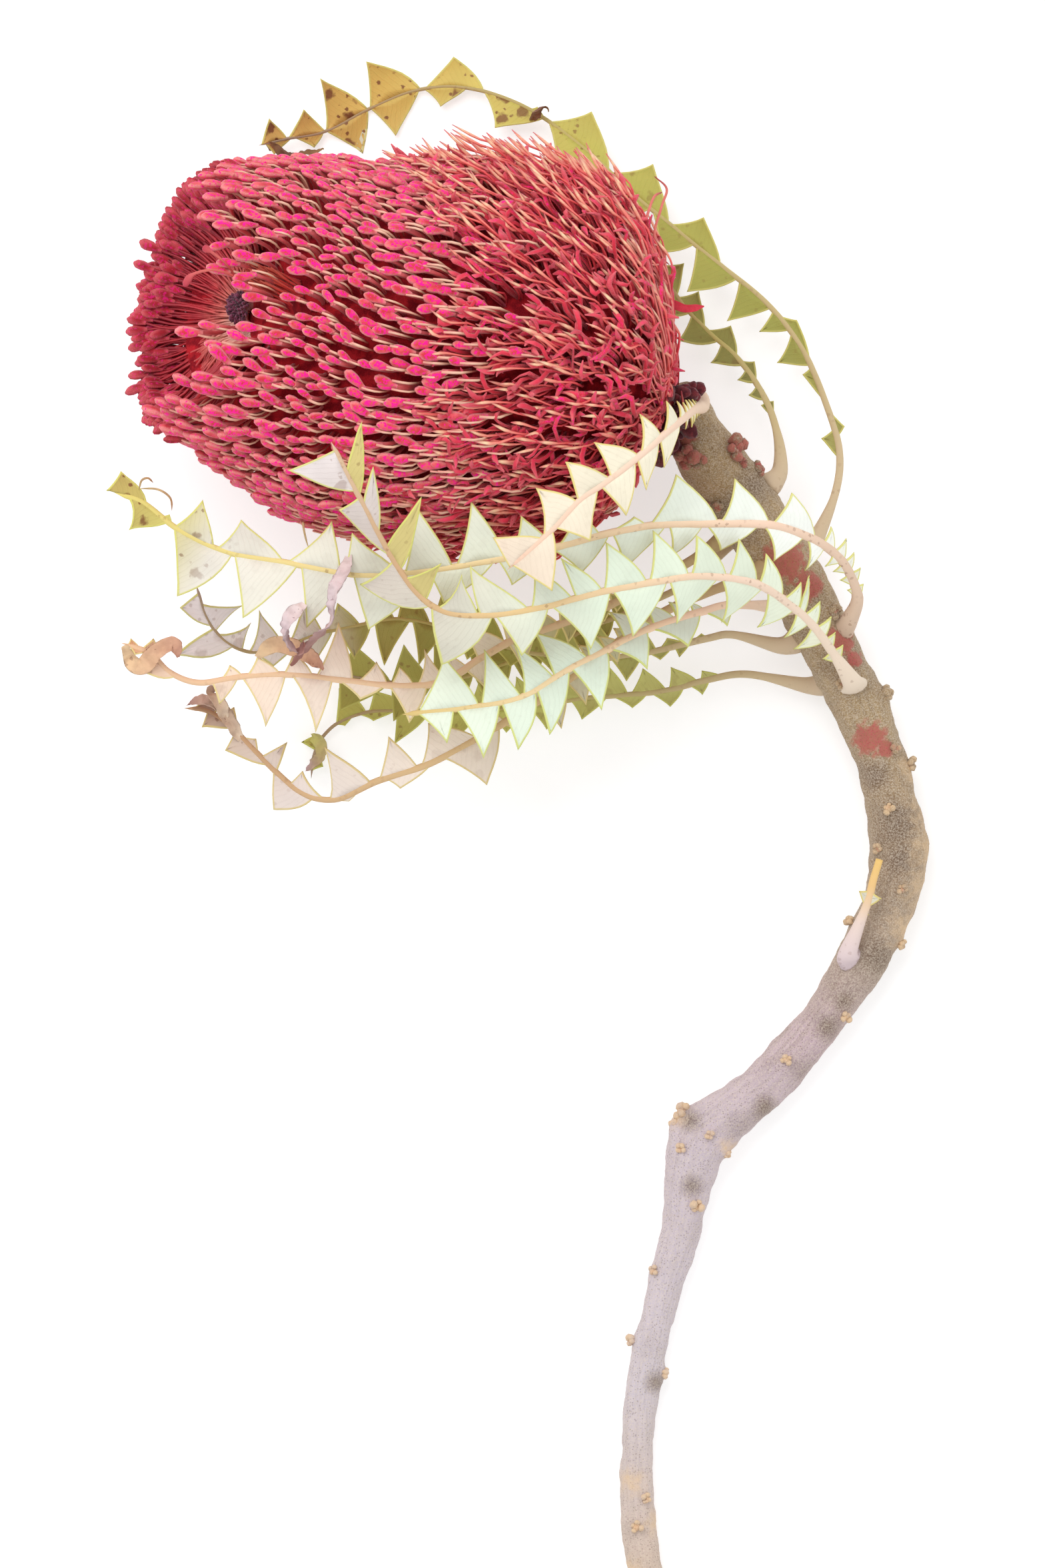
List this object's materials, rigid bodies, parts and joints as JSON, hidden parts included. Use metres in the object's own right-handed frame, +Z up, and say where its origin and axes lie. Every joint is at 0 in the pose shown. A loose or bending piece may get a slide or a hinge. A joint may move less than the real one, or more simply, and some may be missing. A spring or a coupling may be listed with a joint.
{
  "type": "showy banksia",
  "caption": "Cut dried banksia bloom dyed red, lying down: broad floret head, S-bent woody stem and narrow leaves cut into triangular lobes.",
  "frame": {"origin": "centre of the bounding box's bottom face, on the table", "axes": "+Y from the stem's cut end to the flower head, +Z up from the table, +X to the right seen from above"},
  "size_m": [0.1986, 0.3822, 0.1095],
  "materials": {
    "flower_head": "fuzzy matte florets",
    "flower_stem": "dry matte bark",
    "leaf_cream": "dry matte leaf",
    "leaf_green_lower": "dry matte leaf",
    "leaf_green_upper": "dry matte leaf",
    "leaf_hidden": "dry matte leaf",
    "leaf_lower_mid": "dry matte leaf",
    "leaf_middle": "dry matte leaf",
    "leaf_short": "dry matte leaf",
    "leaf_side_arc": "dry matte leaf",
    "leaf_stub": "dry matte leaf",
    "leaf_tan": "dry matte leaf",
    "leaf_top_arc": "dry matte leaf",
    "leaf_upper": "dry matte leaf"
  },
  "bodies": {
    "root": {"flower_head": "flower_head", "flower_stem": "flower_stem", "leaf_cream": "leaf_cream", "leaf_green_lower": "leaf_green_lower", "leaf_green_upper": "leaf_green_upper", "leaf_hidden": "leaf_hidden", "leaf_lower_mid": "leaf_lower_mid", "leaf_middle": "leaf_middle", "leaf_short": "leaf_short", "leaf_side_arc": "leaf_side_arc", "leaf_stub": "leaf_stub", "leaf_tan": "leaf_tan", "leaf_top_arc": "leaf_top_arc", "leaf_upper": "leaf_upper"}
  },
  "joints": []
}
